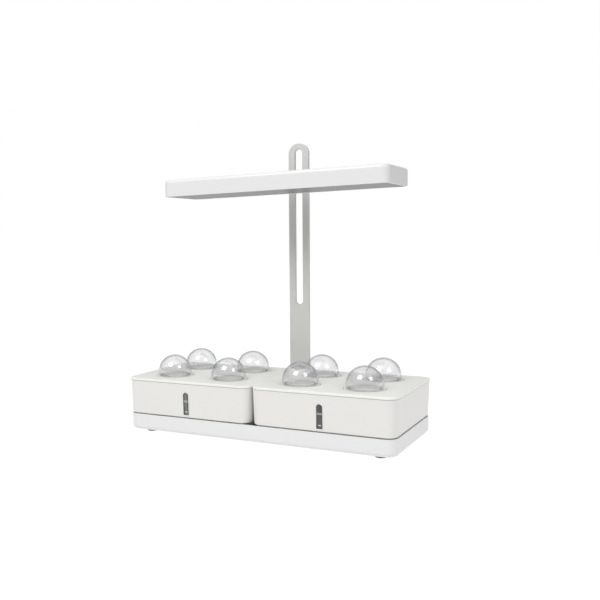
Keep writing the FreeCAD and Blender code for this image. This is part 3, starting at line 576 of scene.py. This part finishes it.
def dome_section(low, high):
    """Half of a dome's section, from the ring's lower edge up the outside and down the inside."""
    radius = (high.x - low.x) / 2
    foot = low.z + RING_DEPTH
    middle = high.z - radius
    start = -math.degrees(math.asin((middle - foot) / radius))
    inner_start = -math.degrees(math.asin((middle - foot - WALL) / (radius - WALL)))
    section = [(RING_RADIUS - RING_WALL, low.z), (RING_RADIUS, low.z), (RING_RADIUS, foot)]
    section += arc(radius, middle, start, 90, DOME_STEPS)
    section += reversed(arc(radius - WALL, middle, inner_start, 90, DOME_STEPS))
    section += [(RING_RADIUS - RING_WALL, foot + WALL), (RING_RADIUS - RING_WALL, low.z)]
    return section


domes = [name for name in nodes if name.startswith("dome_")]
for name in domes:
    low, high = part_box(name)
    centre = (low + high) / 2
    shell = spun(dome_section(low, high), centre.x, centre.y)
    softened(shell)
    side, number = name.split("_")[1:]
    dome = piece(f"clear_{name}", shell, f"{side}_dome_{number}", looks["dome_clear"])
    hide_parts(name)
print("domes", len(domes), "faces each", len(dome.data.polygons))

# %% [markdown]
# ## Marks in the level windows
#
# A plain double line marks the high level and a short line the low one. On the real window they are
# printed or raised by a tenth of a millimetre, too fine for the solids. Each is a strip with round ends,
# as a router would leave it, that lies on the lens and leans with the tank's wall.


# %% Marks in the level windows
MARK_RISE = 0.12 * MM
DRAFT = math.radians(1.8)
END_STEPS = 8


def strip(mesh, middle, half, height, face):
    """A raised strip with round ends. face is the place of the lens at the strip's height."""
    end = height / 2
    reach = half - end
    turns = [math.radians(-90 + 180 * step / END_STEPS) for step in range(END_STEPS + 1)]
    edge = [(reach + end * math.cos(turn), end * math.sin(turn)) for turn in turns]
    edge += [(-x, -z) for x, z in edge]
    front = [mesh.verts.new((middle.x + x, face - MARK_RISE, middle.z + z)) for x, z in edge]
    back = [mesh.verts.new((middle.x + x, face + MARK_RISE, middle.z + z)) for x, z in edge]
    mesh.faces.new(front)
    mesh.faces.new(reversed(back))
    for step in range(len(edge)):
        after = (step + 1) % len(edge)
        mesh.faces.new((front[step], back[step], back[after], front[after]))


mark_finish = moulded("pale_mark", (0.62, 0.62, 0.61), 0.4, grain=0.1)
# Each mark's place up the lens, and half its width, as shares of the lens, and its height in mm.
MARKS = ((0.635, 0.40, 0.5), (0.585, 0.40, 0.5), (0.145, 0.23, 1.2))
for side in ("left", "right"):
    low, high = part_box(f"window_lens_{side}")
    marks = bmesh.new()
    for share, half_width, height in MARKS:
        middle = Vector(((low.x + high.x) / 2, low.y, low.z + (high.z - low.z) * share))
        face = low.y + (high.z - middle.z) * math.tan(DRAFT)
        strip(marks, middle, (high.x - low.x) * half_width, height * MM, face)
    bmesh.ops.recalc_face_normals(marks, faces=marks.faces)
    piece(f"level_marks_{side}", marks, f"{side}_tank", mark_finish)
print("level marks", len(MARKS), "on each window")

# %% [markdown]
# ## Floor
#
# The photograph stands on plain white, with hardly any shadow. A floor that only reflects would have to
# be lit far brighter than the object, so this one also glows a little, as a lit table does: it stays
# white under the tray and still carries a faint shadow.

# %% Floor
FLOOR_REACH = 12.0
PAPER_DARK, PAPER_PALE = (0.14, 0.14, 0.14, 1), (0.16, 0.16, 0.16, 1)
GLOW = 0.92

sheet = bmesh.new()
bmesh.ops.create_grid(sheet, x_segments=1, y_segments=1, size=FLOOR_REACH)
floor_data = bpy.data.meshes.new("floor")
sheet.to_mesh(floor_data)
sheet.free()
paper = material_look("floor_paper")
fibres = noise(paper, 140.0)
glowing = surface(paper, Base_Color=blend(paper, fibres, PAPER_DARK, PAPER_PALE), Roughness=0.9,
                  Emission_Color=(1, 1, 1, 1), Emission_Strength=GLOW)
floor_data.materials.append(finished(paper, glowing))
floor = bpy.data.objects.new("floor", floor_data)
bpy.context.scene.collection.objects.link(floor)
print("floor", round(floor.dimensions.x, 1), "m square")

# %% [markdown]
# ## Softboxes
#
# Every dome mirrors two white squares, one above on the left and a smaller one on the right. Where they
# appear on a ball gives the direction of each lamp, because a ball mirrors each direction in one place
# only. Their directions are written along the camera's own axes, since they were read off the picture.

# %% Softboxes
DISTANCE = 2.0
# For each, where it stands (to the right, up and towards the camera), its side in m and its power in W.
SOFTBOXES = {
    "softbox_left": (Vector((-0.554, 0.658, 0.509)), 0.90, 20.0),
    "softbox_right": (Vector((0.447, 0.487, 0.751)), 0.80, 8.5),
}
centre = (cad_box[0] + cad_box[1]) / 2
for name, (towards, side, power) in SOFTBOXES.items():
    light = bpy.data.lights.new(name, "AREA")
    light.shape = "SQUARE"
    light.size = side
    light.energy = power
    softbox = bpy.data.objects.new(name, light)
    aim = (towards.x * right + towards.y * up - towards.z * ahead).normalized()
    turn = aim.to_track_quat("Z", "Y").to_matrix().to_4x4()
    softbox.matrix_world = Matrix.Translation(centre + aim * DISTANCE) @ turn
    bpy.context.scene.collection.objects.link(softbox)
    print(name, [round(value, 2) for value in softbox.location], "power", power, "W")

# %% [markdown]
# ## Studio
#
# The rest of the light comes from all round, more of it from above than from the sides, as under a large
# overhead diffuser. That is a world whose strength rises with height. The camera itself sees plain white.

# %% Studio
AROUND, OVERHEAD = 0.15, 1.15
RISES_FROM, FULL_AT = 0.25, 0.95

world = bpy.data.worlds.new("studio")
bpy.context.scene.world = world
studio = Look(world)
direction = studio.add("ShaderNodeTexCoord", out="Generated")
height = studio.add("ShaderNodeSeparateXYZ", None, {0: direction}, out=2)
levels = {0: height, 1: RISES_FROM, 2: FULL_AT, 3: AROUND, 4: OVERHEAD}
strength = studio.add("ShaderNodeMapRange", None, levels)
lit = studio.add("ShaderNodeBackground", None, {"Color": (1, 1, 1, 1), "Strength": strength})
white = studio.add("ShaderNodeBackground", None, {"Color": (1, 1, 1, 1), "Strength": 1.0})
seen = studio.add("ShaderNodeLightPath", out="Is Camera Ray")
both = studio.add("ShaderNodeMixShader", None, {0: seen, 1: lit, 2: white})
studio.add("ShaderNodeOutputWorld", None, {"Surface": both})
bpy.context.scene.view_settings.view_transform = "Standard"
bpy.context.scene.cycles.transparent_max_bounces = 32
print("light from around", AROUND, "and from overhead", OVERHEAD)
